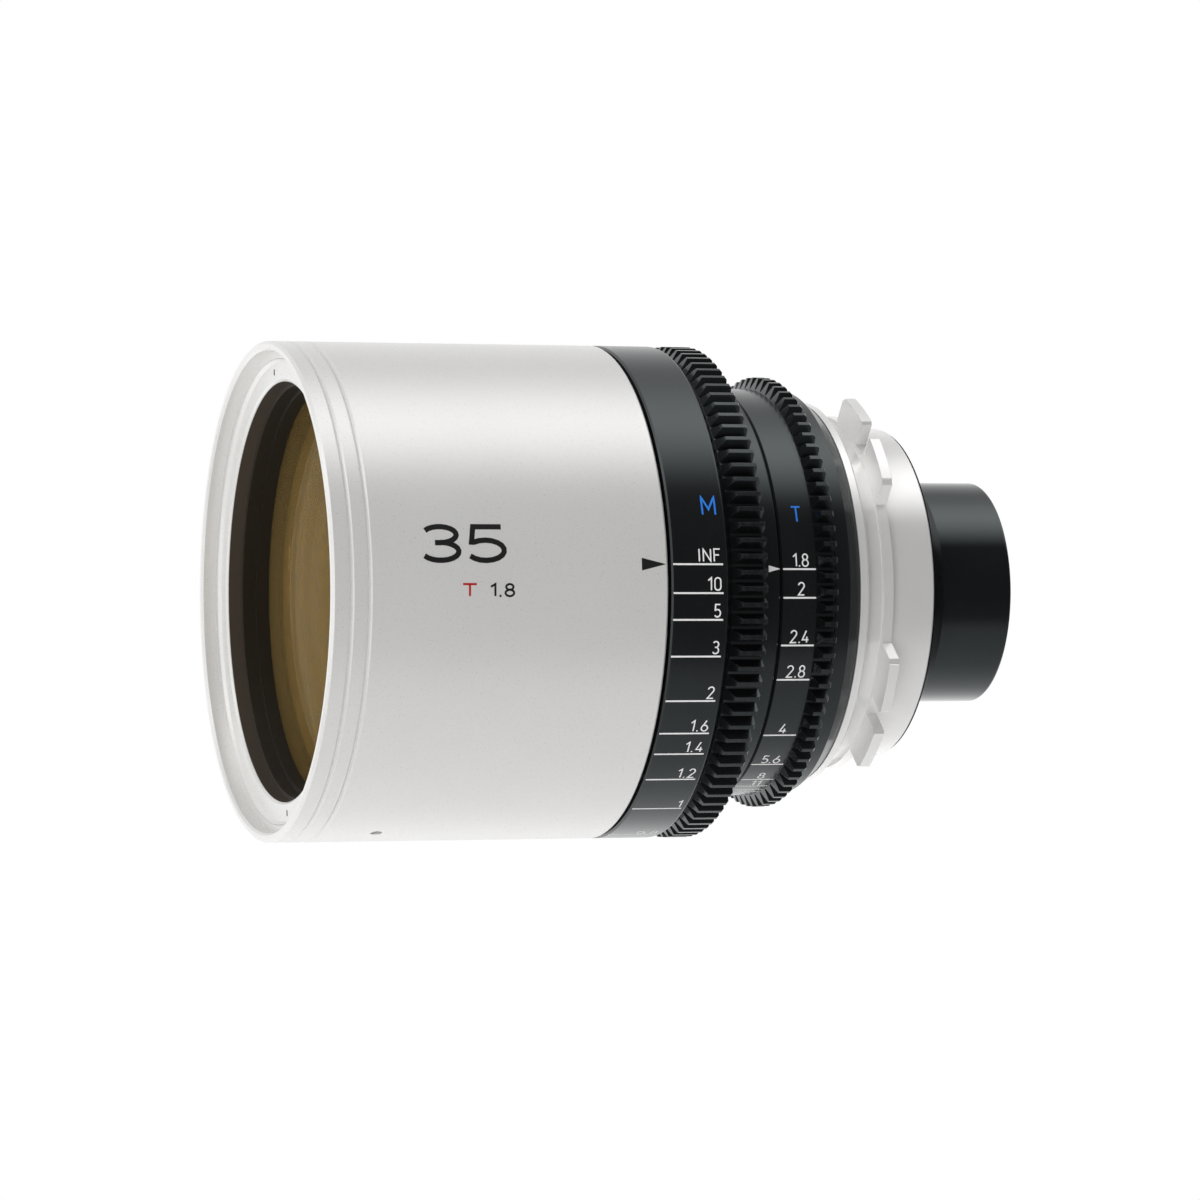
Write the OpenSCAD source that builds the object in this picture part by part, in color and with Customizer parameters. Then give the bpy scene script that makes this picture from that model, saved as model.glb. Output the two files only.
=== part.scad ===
// Cinema prime lens with a bayonet mount, a geared focus ring and a geared iris ring.
// The optical axis is along Y: the front looks to -Y, the rear to +Y, and +Z is up.
// The origin is the centre of the flange seat, the rear face of the mount lugs.

/* [Barrel] */
// Outside diameter of the front barrel and of the focus gear
barrel_d = 80; // [74:0.5:88]
// Angle of the index marks above the +X side of the lens
index_roll = 6.2; // [-15:0.1:15]
// Length of the bright front sleeve
sleeve_l = 48.5; // [44:0.5:60]
// Wall of the front sleeve
sleeve_wall = 2.6; // [2.2:0.1:2.8]
// Length of the narrow band in front of the sleeve
front_band_l = 2.9; // [2.4:0.1:4]
// Length of the filter ring at the very front
filter_ring_l = 3.1; // [2.9:0.1:5]
// Chamfer at the joints of the front rings, half of each groove
joint_chamfer = 0.42; // [0.2:0.02:0.6]
// Chamfer at the front edge
front_chamfer = 0.43; // [0.2:0.01:0.6]

/* [Front optics] */
// Wall of the filter ring outside its thread
filter_wall = 1.5; // [1.2:0.1:2]
// Depth of the filter thread
thread_depth = 2.4; // [2:0.1:2.6]
// Width of the name ring from its rim to its opening
name_face_w = 3.6; // [3:0.1:5]
// How far the face of the name ring lies below its rim
name_dish = 0.5; // [0.3:0.05:0.8]
// Depth of the stepped retainer over the front glass
retainer_l = 6.5; // [4.5:0.5:7.5]
// Edge thickness of the front glass
front_glass_edge = 5; // [4.5:0.5:8]
// Edge thickness of the second glass
second_glass_edge = 3; // [2.5:0.5:5]

/* [Focus] */
// Gear module of the focus and iris rings
gear_module = 0.8; // [0.7:0.05:0.9]
// Length of the smooth scale band on the focus ring
focus_band_l = 9.55; // [7:0.05:14]
// Axial width of the groove between the scale band and the gear
focus_groove_l = 1.1; // [0.8:0.05:1.5]
// Axial length of the focus gear with both bevels
focus_gear_l = 5.5; // [5:0.05:8]
// Turn of the focus ring from far to near
focus_range = 98; // [60:1:104]
// Travel of the focus cell from far to near
focus_travel = 4; // [2:0.5:5]
// Wall of the focus ring below its tooth roots
focus_wall = 3.15; // [2.8:0.05:3.4]
// Wall of the cam tube
cam_wall = 2.4; // [2:0.1:2.8]
// Wall of the main barrel under the cam tube
main_wall = 2.5; // [2.2:0.1:3]
// Length of the focus cell
focus_cell_l = 20; // [20:0.5:22]
// Diameter of the three cam pins
cam_pin_d = 3; // [2.4:0.1:3.4]

/* [Iris] */
// Length of the smooth scale band on the iris ring
iris_band_l = 5.95; // [4.8:0.05:8]
// Axial length of the iris gear with both bevels
iris_gear_l = 3.1; // [2.8:0.1:5]
// Wall of the iris ring below its tooth roots
iris_wall = 2.3; // [2.2:0.05:2.5]
// Turn of the iris ring from open to closed
iris_range = 80; // [60:1:85]
// Width of a blade
blade_w = 5.1; // [4.6:0.1:5.6]
// Turn of each blade from open to closed
blade_swing = 34.5; // [30:0.5:36]
// Thickness of a blade
blade_t = 0.2; // [0.15:0.01:0.25]
// Length of the fixed index ring between the focus and iris rings
index_l = 4; // [3:0.1:6]

/* [Mount] */
// Diameter of the mount throat, which sets the size of the rear
throat_d = 54; // [50:0.1:58]
// Length of the mount throat
throat_l = 7.85; // [6:0.05:10]
// How far the lugs reach out from the neck
lug_reach = 5.1; // [4:0.1:5.4]
// Width of a lug between its straight sides
lug_w = 22.5; // [18:0.5:24]
// Thickness of a lug
lug_t = 1.7; // [1.5:0.1:2.4]
// Width of the index slot in each lug
lug_slot_w = 3.8; // [3.6:0.1:5]
// Step from the throat out to the neck in front of the lugs
neck_step = 1.5; // [1:0.1:2]
// Length of the neck
neck_l = 3.3; // [2.4:0.1:5]
// How far the flange that carries the mount screws reaches out from the neck
mount_flange_w = 2.7; // [2.7:0.1:3.4]
// Thickness of that flange
mount_flange_t = 1.5; // [1.2:0.1:2]
// Thickness of the mount shim
shim_t = 0.2; // [0.1:0.05:0.4]
// Number of mount screws
mount_screw_count = 8; // [4:1:10]
// Length of the tapered ring behind the iris gear
cone_ring_l = 4.75; // [4:0.05:6]

/* [Rear] */
// Diameter of the rear tube
tube_d = 36.2; // [34:0.1:38]
// Length of the rear tube behind the flange seat
tube_l = 25; // [22:0.5:28]
// Step from the throat in to the foot of the rear collar
collar_step = 0.3; // [0.2:0.05:0.6]
// Length of the rear collar's cone
collar_l = 4.9; // [4:0.1:6]
// Wall of the rear tube
tube_wall = 1.8; // [1.4:0.1:2.2]

/* [Hidden] */
$fn = 128;
// Clearance of pieces that are screwed or slipped together
slip = 0.05;
// Radial clearance of pieces that run on each other
running = 0.1;
// Axial gap between a turning ring and its fixed neighbour
ring_gap = 0.3;
// Axial gap between the sleeve and the focus ring
focus_gap = 0.55;
// Tooth height below and above the pitch circle, in modules
tooth_dedendum = 1.25;
tooth_addendum = 1;
pressure_angle = 20;
// Small bevel at the rear end of the gear teeth and at ring edges
edge_bevel = 0.3;
// How far the drilled end of a slot stands out past the slot's sides
slot_relief = 0.06;
// Room between the tooth roots and the smooth ring below them
root_step = 0.1;
// Axial length of the bevel at the front end of each gear
focus_gear_bevel = 1.25;
iris_gear_bevel = 0.9;
// Round on the rear edge of the focus scale band
band_round = 0.6;
band_round_steps = 6;
// How far a cutting body runs past the faces it cuts
over = 1;

barrel_r = barrel_d / 2;
throat_r = throat_d / 2;
tube_r = tube_d / 2;
cam_pin_r = cam_pin_d / 2;
tooth_h = (tooth_addendum + tooth_dedendum) * gear_module;

// Stations along the axis, as distances in front of the flange seat
z_neck = lug_t + neck_l;
z_mount = z_neck + mount_flange_t;
z_cone = z_mount + shim_t;
cone_plate_t = 1.3;
z_barrel = z_cone + cone_plate_t;
cone_land_l = 2.45;
z_cone_front = z_cone + cone_ring_l;
z_iris = z_cone_front + ring_gap;
z_iris_front = z_iris + iris_gear_l + iris_band_l;
z_index = z_iris_front + ring_gap;
z_index_front = z_index + index_l;
z_focus = z_index_front + ring_gap;
z_focus_groove = z_focus + focus_gear_l;
z_focus_band = z_focus_groove + focus_groove_l;
z_focus_front = z_focus_band + focus_band_l;
z_sleeve = z_focus_front + focus_gap;
z_sleeve_front = z_sleeve + sleeve_l;
z_filter = z_sleeve_front + front_band_l;
z_front = z_filter + filter_ring_l;
z_thread_floor = z_front - thread_depth;
name_chamfer = 0.35;
name_ring_edge = 0.1;
z_name_face = z_thread_floor - name_dish;
z_name = z_name_face - name_chamfer - name_ring_edge;
z_front_glass = z_name - retainer_l;
front_shoulder_t = 2;
z_front_shoulder = z_front_glass - front_glass_edge;
z_second_glass = z_front_shoulder - front_shoulder_t - second_glass_edge;
retainer_t = 2;
z_front_cell = z_second_glass - retainer_t;

// Radii of the front, from the outside in
sleeve_in_r = barrel_r - sleeve_wall;
cell_r = sleeve_in_r - slip;
filter_r = barrel_r - filter_wall;
thread_lead = 0.35;
thread_land_w = 1.3;
name_ring_r = filter_r - thread_land_w;
opening_r = name_ring_r - name_face_w;
retainer_wall = 1.95;
retainer_r = opening_r + retainer_wall;
baffle_step = 0.6;
front_seat_w = 0.4;
front_glass_r = opening_r + front_seat_w;
second_step = 1.5;
second_glass_r = front_glass_r - second_step;
glass_lip = 1.6;

// Radii of the focus group, from the outside in
focus_root_r = barrel_r - tooth_h;
focus_teeth = round(barrel_d / gear_module) - 2 * tooth_addendum;
focus_floor_r = focus_root_r - root_step;
focus_bore_r = focus_root_r - focus_wall;
cam_r = focus_bore_r - slip;
cam_bore_r = cam_r - cam_wall;
main_r = cam_bore_r - running;
main_bore_r = main_r - main_wall;
focus_cell_r = main_bore_r - running;
focus_cell_wall = 3.85;
focus_glass_r = focus_cell_r - focus_cell_wall - slip;

// Radii of the mount and the iris ring, from the throat out
neck_r = throat_r + neck_step;
lug_r = neck_r + lug_reach;
mount_flange_r = neck_r + mount_flange_w;
flange_overhang = 0.2;
rear_main_r = mount_flange_r - flange_overhang;
iris_bore_r = rear_main_r + running;
iris_root_r = iris_bore_r + iris_wall;
iris_gear_r = iris_root_r + tooth_h;
iris_teeth = round(2 * iris_gear_r / gear_module) - 2 * tooth_addendum;
iris_floor_r = iris_root_r - root_step;
index_wall = 2.8;
index_seat_w = 1.3;
index_r = max(rear_main_r + index_wall, main_r + index_seat_w);

// Radii of the iris unit, from its wall in to the full aperture
rear_main_wall = 2.8;
unit_bore_r = rear_main_r - rear_main_wall;
unit_r = unit_bore_r - slip;
unit_wall = 2.55;
unit_in_r = unit_r - unit_wall;
cam_plate_r = unit_in_r - running;
unit_ledge_w = 0.5;
pivot_inset = 5.5;
pivot_r = cam_plate_r - pivot_inset;
pivot_ear_l = 2;
blade_outer_r = pivot_r - pivot_ear_l;
blade_inner_r = blade_outer_r - blade_w;
blade_lap = 0.3;
aperture_r = blade_inner_r - blade_lap;

// Iris blades
blade_count = 8;
blade_pin_r = 0.45;
blade_pin_ear_r = 1;
pivot_pin_r = 0.5;
blade_span = 108;
blade_lever = 6;
blade_ear_r = 1.3;
lever_mid = -90;
lever_start = lever_mid - blade_swing / 2;
layer_gap = 0.1;
layer_pitch = blade_t + layer_gap;
cam_plate_t = 2;
unit_plate_t = 1.2;
unit_back = 0.25;
z_unit = z_iris + unit_back;
z_blades = z_unit + unit_plate_t + layer_gap;
z_cam_plate = z_blades + blade_count * layer_pitch + layer_gap;
z_unit_front = z_cam_plate + cam_plate_t + ring_gap;
iris_retainer_gap = 1.2;
iris_retainer_w = 4;
iris_retainer_t = z_unit - z_barrel - iris_retainer_gap;
cam_plate_w = 9;
drive_pin_r = 0.8;
drive_pin_bite = 1.3;
drive_pin_reach = 1.5;
drive_angle = 150;
z_drive = z_cam_plate + cam_plate_t / 2;
slot_steps = 16;
tangent_step = 0.01;

// Focus mechanism
focus_bore_start = 1.5;
z_focus_bore = z_index_front + focus_bore_start;
focus_end_gap = 0.5;
z_focus_cell = z_focus_bore + focus_end_gap;
lip_l = 1.2;
z_cam_tube = z_focus + lip_l + slip;
washer_t = 0.2;
washer_gap = 0.15;
z_cam_front = z_sleeve - washer_t - washer_gap;
cam_pin_rise = 6;
z_cam_pin = z_focus + cam_pin_rise;
cam_pin_seat = 2.4;
cam_pin_count = 3;
cam_pin_start = 60;
main_flange_l = 4;
focus_shoulder_l = 3;
focus_glass_edge = 4;
focus_rear_edge = 5;
focus_recess = 1.2;
z_focus_glass = z_focus_cell + focus_cell_l - focus_recess - retainer_t - focus_glass_edge;
z_focus_shoulder = z_focus_glass - focus_shoulder_l;
main_front_gap = 2;
z_main_front = z_focus_cell + focus_cell_l + focus_travel + main_front_gap;
baffle_socket_l = 5;
baffle_ribs = 7;
helix_steps = 24;

// Screws
screw_r = 0.7;
screw_head_r = 1.1;
screw_head_l = 0.8;
screw_bite = 3;
screw_hole_extra = 0.2;
mount_screw_inset = 1.2;
mount_screw_circle_r = rear_main_r - mount_screw_inset;
cone_inset = 0.3;
cone_r = iris_floor_r - cone_inset;
cam_screw_circle_r = (cam_r + cam_bore_r) / 2;
cam_screw_r = 0.6;
cam_screw_head_r = 1;
cam_screw_count = 3;
cam_screw_bite = 1.5;
cam_hole_extra = 0.5;
grub_r = 0.9;
grub_bite = 1.1;
grub_recess = 0.4;
sleeve_grub_back = 9.3;
z_sleeve_grub = z_sleeve_front - sleeve_grub_back;
sleeve_grub_angles = [-79, 101];
collar_grub_r = 0.4;
collar_grub_count = 3;
collar_grub_inset = 1.3;
collar_grub_recess = 0.9;

// Mount and rear group
lug_count = 4;
lug_start = 45;
lug_foot_w = 0.5;
lug_foot_r = neck_r + lug_foot_w;
lug_corner = 0.65;
slot_corner = 0.5;
throat_wall = 2.5;
mount_bore_r = throat_r - throat_wall;
collar_r = throat_r - collar_step;
collar_relief = 0.4;
shim_inset = 1;
web_t = 3.5;
collar_gap = 0.2;
spigot_wall = 2.45;
spigot_l = 9;
z_throat = -throat_l;
z_collar = z_throat - collar_gap;
z_collar_end = z_collar - collar_l;
z_collar_grub = z_collar_end + collar_grub_inset;
collar_edge = 0.25;
collar_hollow = 0.5;
collar_steps = 8;
collar_end_r = tube_r + slip + collar_edge;
tube_edge = 0.5;
tube_nose = 1.5;
tube_bore_r = tube_r - tube_wall;
rear_glass_r = tube_bore_r - slip;
rear_shoulder_l = 3;
rear_shoulder_back = 4;
z_rear_shoulder = -rear_shoulder_back;
z_relay = z_rear_shoulder + rear_shoulder_l;
relay_edge = 4;
rear_glass_edge = 4;
rear_retainer_l = 2.5;
rear_recess = 1.5;
z_rear_retainer = rear_recess - tube_l;
z_rear_glass = z_rear_retainer + rear_retainer_l;

function polar(r, a) = [r * cos(a), r * sin(a)];
function turned(p, a) = [p.x * cos(a) - p.y * sin(a), p.x * sin(a) + p.y * cos(a)];
function unit(v) = v / norm(v);

// Depth of a spherical surface of radius curve at the edge radius r
function sag(curve, r) = curve - sqrt(curve * curve - r * r);

// Place a piece that is drawn with its axis along z, front up and index mark on +x
module lens_frame() {
    rotate([90, 0, 0]) rotate([0, 0, index_roll]) children();
}

// Solid of revolution from [radius, station] points
module revolve(points) {
    rotate_extrude() polygon(points);
}

// Plain ring between two radii and two stations
module ring(r_out, r_in, z0, z1) {
    revolve([[r_in, z0], [r_out, z0], [r_out, z1], [r_in, z1]]);
}

// Round rod that lies along a radius
module spoke(angle, z, r0, r1, rod_r) {
    rotate([0, 0, angle])
        translate([r0, 0, z])
            rotate([0, 90, 0]) cylinder(h = r1 - r0, r = rod_r);
}

// Copies about the axis
module around(count, start = 0) {
    for (i = [0 : count - 1]) rotate([0, 0, start + i * 360 / count]) children();
}

// Sector of a ring, from one angle over a span
module sector(r_out, r_in, z0, z1, start, span) {
    rotate([0, 0, start])
        rotate_extrude(angle = span)
            polygon([[r_in, z0], [r_out, z0], [r_out, z1], [r_in, z1]]);
}

// Slot round a wall for a radial pin that turns over a span, with a drilled hole at each end
module pin_track(r_out, r_in, z, half_w, start, span) {
    sector(r_out, r_in, z - half_w, z + half_w, start, span);
    spoke(start, z, r_in, r_out, half_w + slot_relief);
    spoke(start + span, z, r_in, r_out, half_w + slot_relief);
}

// Fine ball, so that a shallow cap of it stays smooth
module ball(curve) {
    sphere(curve, $fn = 360);
}

// Glass with its edge from z to z + edge and a flat seat round each face:
// a positive curve bulges out, a negative one is hollow
module glass(r, z, edge, front_curve, back_curve) {
    clear_r = r - glass_lip - slip;
    cap_r = r - glass_lip / 2;
    overlap = edge / 4;
    front_sag = sag(abs(front_curve), clear_r);
    back_sag = sag(abs(back_curve), clear_r);
    difference() {
        union() {
            translate([0, 0, z]) cylinder(h = edge, r = r);
            if (front_curve > 0) intersection() {
                translate([0, 0, z + edge - overlap]) cylinder(h = front_sag + overlap, r = cap_r);
                translate([0, 0, z + edge + front_sag - front_curve]) ball(front_curve);
            }
            if (back_curve > 0) intersection() {
                translate([0, 0, z - back_sag]) cylinder(h = back_sag + overlap, r = cap_r);
                translate([0, 0, z - back_sag + back_curve]) ball(back_curve);
            }
        }
        if (front_curve < 0) translate([0, 0, z + edge - front_sag - front_curve]) ball(-front_curve);
        if (back_curve < 0) translate([0, 0, z + back_sag + back_curve]) ball(-back_curve);
    }
}

// Outline of a spur gear with straight flanks, drawn a little past its tips
module gear_outline(teeth, tip_r) {
    tip_over = 0.2;
    tip_half = PI * gear_module / 4 - tooth_addendum * gear_module * tan(pressure_angle);
    root_half = PI * gear_module / 4 + tooth_dedendum * gear_module * tan(pressure_angle);
    root_r = tip_r - tooth_h;
    out_r = tip_r + tip_over;
    out_half = tip_half - tip_over * tan(pressure_angle);
    polygon([
        for (i = [0 : teeth - 1])
            for (c = [[root_r, -root_half], [out_r, -out_half], [out_r, out_half], [root_r, root_half]])
                polar(c[0], (i + 0.5) * 360 / teeth + c[1] / c[0] * 180 / PI)
    ]);
}

// Toothed rim from z0: rear bevel, flat tips, then a front bevel down to floor_r
module gear_rim(teeth, tip_r, floor_r, z0, length, bevel) {
    core_r = floor_r - over;
    slope = bevel / (tip_r - floor_r);
    z_tip = z0 + length - bevel;
    intersection() {
        translate([0, 0, z0]) linear_extrude(length + over) gear_outline(teeth, tip_r);
        revolve([
            [core_r, z0], [tip_r - edge_bevel, z0], [tip_r, z0 + edge_bevel], [tip_r, z_tip],
            [core_r, z_tip + slope * (tip_r - core_r)]
        ]);
    }
}

// Front ring with the bore of the filter thread and a seat for the name ring
module filter_ring() {
    color("gainsboro") lens_frame() revolve([
        [name_ring_r + slip, z_filter], [barrel_r - joint_chamfer, z_filter],
        [barrel_r, z_filter + joint_chamfer], [barrel_r, z_front - front_chamfer],
        [barrel_r - front_chamfer, z_front], [filter_r + thread_lead, z_front],
        [filter_r, z_front - thread_lead], [filter_r, z_thread_floor],
        [name_ring_r + slip, z_thread_floor]
    ]);
}

// Flat ring round the front opening, with a chamfer at each edge and two notches for a key
module name_ring() {
    notch_w = 0.4;
    notch_l = 0.9;
    notch_depth = 0.25;
    notch_r = (name_ring_r + opening_r) / 2;
    color("silver") lens_frame() difference() {
        revolve([
            [opening_r, z_name], [name_ring_r, z_name], [name_ring_r, z_thread_floor],
            [name_ring_r - name_dish, z_name_face], [opening_r + name_chamfer, z_name_face],
            [opening_r, z_name + name_ring_edge]
        ]);
        around(2, 90)
            translate([notch_r - notch_l / 2, -notch_w / 2, z_name_face - notch_depth])
                cube([notch_l, notch_w, over]);
    }
}

// Narrow band on the nose of the front cell
module front_band() {
    bore_r = name_ring_r + slip;
    color("gainsboro") lens_frame() revolve([
        [bore_r, z_sleeve_front], [barrel_r - joint_chamfer, z_sleeve_front],
        [barrel_r, z_sleeve_front + joint_chamfer], [barrel_r, z_filter - joint_chamfer],
        [barrel_r - joint_chamfer, z_filter], [bore_r, z_filter]
    ]);
}

// Stepped black ring that holds the front glass and traps stray light
module front_retainer() {
    step_l = retainer_l / 3;
    color("#202020") lens_frame() revolve([
        [opening_r - 2 * baffle_step, z_front_glass], [retainer_r - slip, z_front_glass],
        [retainer_r - slip, z_name], [opening_r, z_name], [opening_r, z_name - step_l],
        [opening_r - baffle_step, z_name - step_l], [opening_r - baffle_step, z_name - 2 * step_l],
        [opening_r - 2 * baffle_step, z_name - 2 * step_l]
    ]);
}

module front_element() {
    front_curve = 180;
    back_curve = -105;
    color("darkgoldenrod", 0.5) lens_frame()
        glass(front_glass_r, z_front_shoulder, front_glass_edge, front_curve, back_curve);
}

module second_element() {
    front_curve = 400;
    back_curve = 170;
    color("darkgoldenrod", 0.5) lens_frame()
        glass(second_glass_r, z_second_glass, second_glass_edge, front_curve, back_curve);
}

module second_retainer() {
    color("#303030") lens_frame()
        ring(second_glass_r, second_glass_r - glass_lip, z_front_cell, z_second_glass);
}

// Housing of the two front glasses, with a shoulder between them and a nose for the front band
module front_cell() {
    color("#282828") lens_frame() difference() {
        revolve([
            [second_glass_r + slip, z_front_cell], [cell_r, z_front_cell], [cell_r, z_sleeve_front],
            [name_ring_r, z_sleeve_front], [name_ring_r, z_name],
            [retainer_r, z_name], [retainer_r, z_front_glass],
            [front_glass_r + slip, z_front_glass], [front_glass_r + slip, z_front_shoulder],
            [second_glass_r - glass_lip, z_front_shoulder],
            [second_glass_r - glass_lip, z_front_shoulder - front_shoulder_t],
            [second_glass_r + slip, z_front_shoulder - front_shoulder_t]
        ]);
        for (a = sleeve_grub_angles)
            spoke(a, z_sleeve_grub, cell_r - grub_bite - running, cell_r + over, grub_r + slip);
    }
}

module barrel_sleeve() {
    color("gainsboro") lens_frame() difference() {
        revolve([
            [sleeve_in_r, z_sleeve], [barrel_r - edge_bevel, z_sleeve], [barrel_r, z_sleeve + edge_bevel],
            [barrel_r, z_sleeve_front - joint_chamfer], [barrel_r - joint_chamfer, z_sleeve_front],
            [sleeve_in_r, z_sleeve_front]
        ]);
        for (a = sleeve_grub_angles)
            spoke(a, z_sleeve_grub, sleeve_in_r - over, barrel_r + over, grub_r + slip);
    }
}

module sleeve_screws() {
    color("#404040") lens_frame()
        for (a = sleeve_grub_angles)
            spoke(a, z_sleeve_grub, cell_r - grub_bite, barrel_r - grub_recess, grub_r);
}

// Ribbed tube that traps stray light between the front glasses and the focus cell
module light_baffle() {
    socket_r = main_r + slip;
    wall = 1.4;
    z_socket = z_main_front - baffle_socket_l;
    rear_step = 0.5;
    rear_r = main_bore_r + rear_step;
    front_r = second_glass_r - glass_lip;
    rim_inset = 1;
    rib_l = (z_front_cell - z_main_front) / baffle_ribs;
    rib_rise = 0.8;
    rib_r = [for (i = [0 : baffle_ribs]) rear_r + (front_r - rear_r) * i / baffle_ribs];
    color("#202020") lens_frame() revolve(concat(
        [[socket_r, z_main_front], [socket_r, z_socket], [socket_r + wall, z_socket],
         [cell_r - rim_inset, z_front_cell]],
        [for (i = [baffle_ribs : -1 : 1])
            for (edge = [[0, i], [rib_rise, i - 1]])
                [rib_r[i] + edge[0], z_main_front + rib_l * edge[1]]]
    ));
}

// Core tube: it carries the sleeve on its flange, guides the focus cell and holds the iris unit
module main_barrel() {
    ledge_r = cam_plate_r - unit_ledge_w;
    color("#383838") lens_frame() difference() {
        revolve([
            [unit_bore_r, z_barrel], [rear_main_r, z_barrel], [rear_main_r, z_index_front],
            [main_r, z_index_front], [main_r, z_sleeve], [cell_r, z_sleeve],
            [cell_r, z_sleeve + main_flange_l], [main_r, z_sleeve + main_flange_l],
            [main_r, z_main_front], [main_bore_r, z_main_front], [main_bore_r, z_focus_bore],
            [ledge_r, z_focus_bore], [ledge_r, z_unit_front], [unit_bore_r, z_unit_front]
        ]);
        around(cam_pin_count, cam_pin_start) guide_slot();
        drive_track(rear_main_r, unit_bore_r);
        mount_holes(z_barrel, z_barrel + screw_bite + screw_hole_extra - over);
    }
}

// Track round a wall for the pin that links the iris ring to the cam plate
module drive_track(r_out, r_in) {
    pin_track(r_out + over, r_in - over, z_drive, drive_pin_r + running, drive_angle, iris_range);
}

// Holes for the shanks of the mount screws through the stations z0 to z1
module mount_holes(z0, z1) {
    around(mount_screw_count)
        translate([mount_screw_circle_r, 0, z0 - over])
            cylinder(h = z1 - z0 + 2 * over, r = screw_r + slip);
}

// Straight slot that keeps a cam pin from turning
module guide_slot() {
    half_w = cam_pin_r + running;
    r0 = main_bore_r - over;
    r1 = main_r + over;
    spoke(0, z_cam_pin, r0, r1, half_w + slot_relief);
    spoke(0, z_cam_pin + focus_travel, r0, r1, half_w + slot_relief);
    translate([r0, -half_w, z_cam_pin]) cube([r1 - r0, 2 * half_w, focus_travel]);
}

// Thrust washers in front of and behind the focus group
module focus_washers() {
    color("burlywood") lens_frame() {
        ring(cam_r - edge_bevel, main_r + slip, z_sleeve - washer_t, z_sleeve);
        ring(index_r - edge_bevel, main_r + slip, z_index_front, z_index_front + washer_t);
    }
}

module index_ring() {
    color("#181818") lens_frame() revolve([
        [rear_main_r + slip, z_index], [index_r - edge_bevel, z_index], [index_r, z_index + edge_bevel],
        [index_r, z_index_front], [rear_main_r + slip, z_index_front]
    ]);
}

// Cup that carries the blade pivots; its wall has a track for the drive pin
module iris_housing() {
    color("#303030") lens_frame() difference() {
        revolve([
            [aperture_r, z_unit], [unit_r, z_unit], [unit_r, z_unit_front], [unit_in_r, z_unit_front],
            [unit_in_r, z_unit + unit_plate_t], [aperture_r, z_unit + unit_plate_t]
        ]);
        drive_track(unit_r, unit_in_r);
        around(blade_count)
            translate([pivot_r, 0, z_unit - over])
                cylinder(h = unit_plate_t + 2 * over, r = pivot_pin_r + running);
    }
}

module iris_retainer() {
    color("#383838") lens_frame() 
        ring(unit_r, unit_r - iris_retainer_w, z_unit - iris_retainer_t, z_unit);
}

// Black ring behind the iris gear that tapers down to the mount
module rear_cone() {
    color("#181818") lens_frame() difference() {
        revolve([
            [mount_bore_r, z_cone], [mount_flange_r, z_cone], [cone_r, z_cone_front - cone_land_l],
            [cone_r, z_cone_front], [rear_main_r + slip, z_cone_front], [rear_main_r + slip, z_barrel],
            [mount_bore_r, z_barrel]
        ]);
        mount_holes(z_cone, z_barrel);
    }
}

module mount_shim() {
    color("dimgray") lens_frame() difference() {
        ring(mount_flange_r - edge_bevel, mount_bore_r + shim_inset, z_mount, z_cone);
        mount_holes(z_mount, z_cone);
    }
}

// One mount lug: straight sides, clipped corners and a round outer edge
module lug() {
    half_w = lug_w / 2;
    corner_x = sqrt(lug_r * lug_r - half_w * half_w) - lug_corner;
    intersection() {
        cylinder(h = lug_t, r = lug_r);
        linear_extrude(lug_t) polygon([
            [throat_r, -half_w], [corner_x, -half_w], [corner_x + lug_corner, lug_corner - half_w],
            [lug_r + over, lug_corner - half_w], [lug_r + over, half_w - lug_corner],
            [corner_x + lug_corner, half_w - lug_corner], [corner_x, half_w], [throat_r, half_w]
        ]);
    }
}

// Index slot of a lug, wider at its mouth
module lug_slot() {
    half_w = lug_slot_w / 2;
    mouth_r = lug_r - slot_corner;
    mouth_half = half_w + slot_corner + over;
    translate([0, 0, -over]) linear_extrude(lug_t + 2 * over) polygon([
        [lug_foot_r, -half_w], [mouth_r, -half_w], [lug_r + over, -mouth_half],
        [lug_r + over, mouth_half], [mouth_r, half_w], [lug_foot_r, half_w]
    ]);
}

// Mount: throat, four slotted lugs, neck, flange and a web that carries the rear tube
module bayonet_mount() {
    web_bore_r = tube_r + running;
    color("whitesmoke") lens_frame() difference() {
        union() {
            revolve([
                [mount_bore_r, z_throat], [throat_r - edge_bevel, z_throat],
                [throat_r, z_throat + edge_bevel],
                [throat_r, 0], [lug_foot_r, 0], [lug_foot_r, lug_t], [neck_r, lug_t], [neck_r, z_neck],
                [mount_flange_r - edge_bevel, z_neck], [mount_flange_r, z_neck + edge_bevel],
                [mount_flange_r, z_mount], [web_bore_r, z_mount], [web_bore_r, z_mount - web_t],
                [mount_bore_r, z_mount - web_t]
            ]);
            around(lug_count, lug_start) lug();
        }
        around(lug_count, lug_start) lug_slot();
        mount_holes(z_neck, z_mount);
        around(mount_screw_count)
            translate([mount_screw_circle_r, 0, z_neck - over])
                cylinder(h = screw_head_l + over, r = screw_head_r + slip);
    }
}

module mount_screws() {
    color("dimgray") lens_frame() around(mount_screw_count)
        translate([mount_screw_circle_r, 0, z_neck]) {
            cylinder(h = screw_head_l, r = screw_head_r);
            cylinder(h = z_barrel - z_neck + screw_bite, r = screw_r);
        }
}

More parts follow.
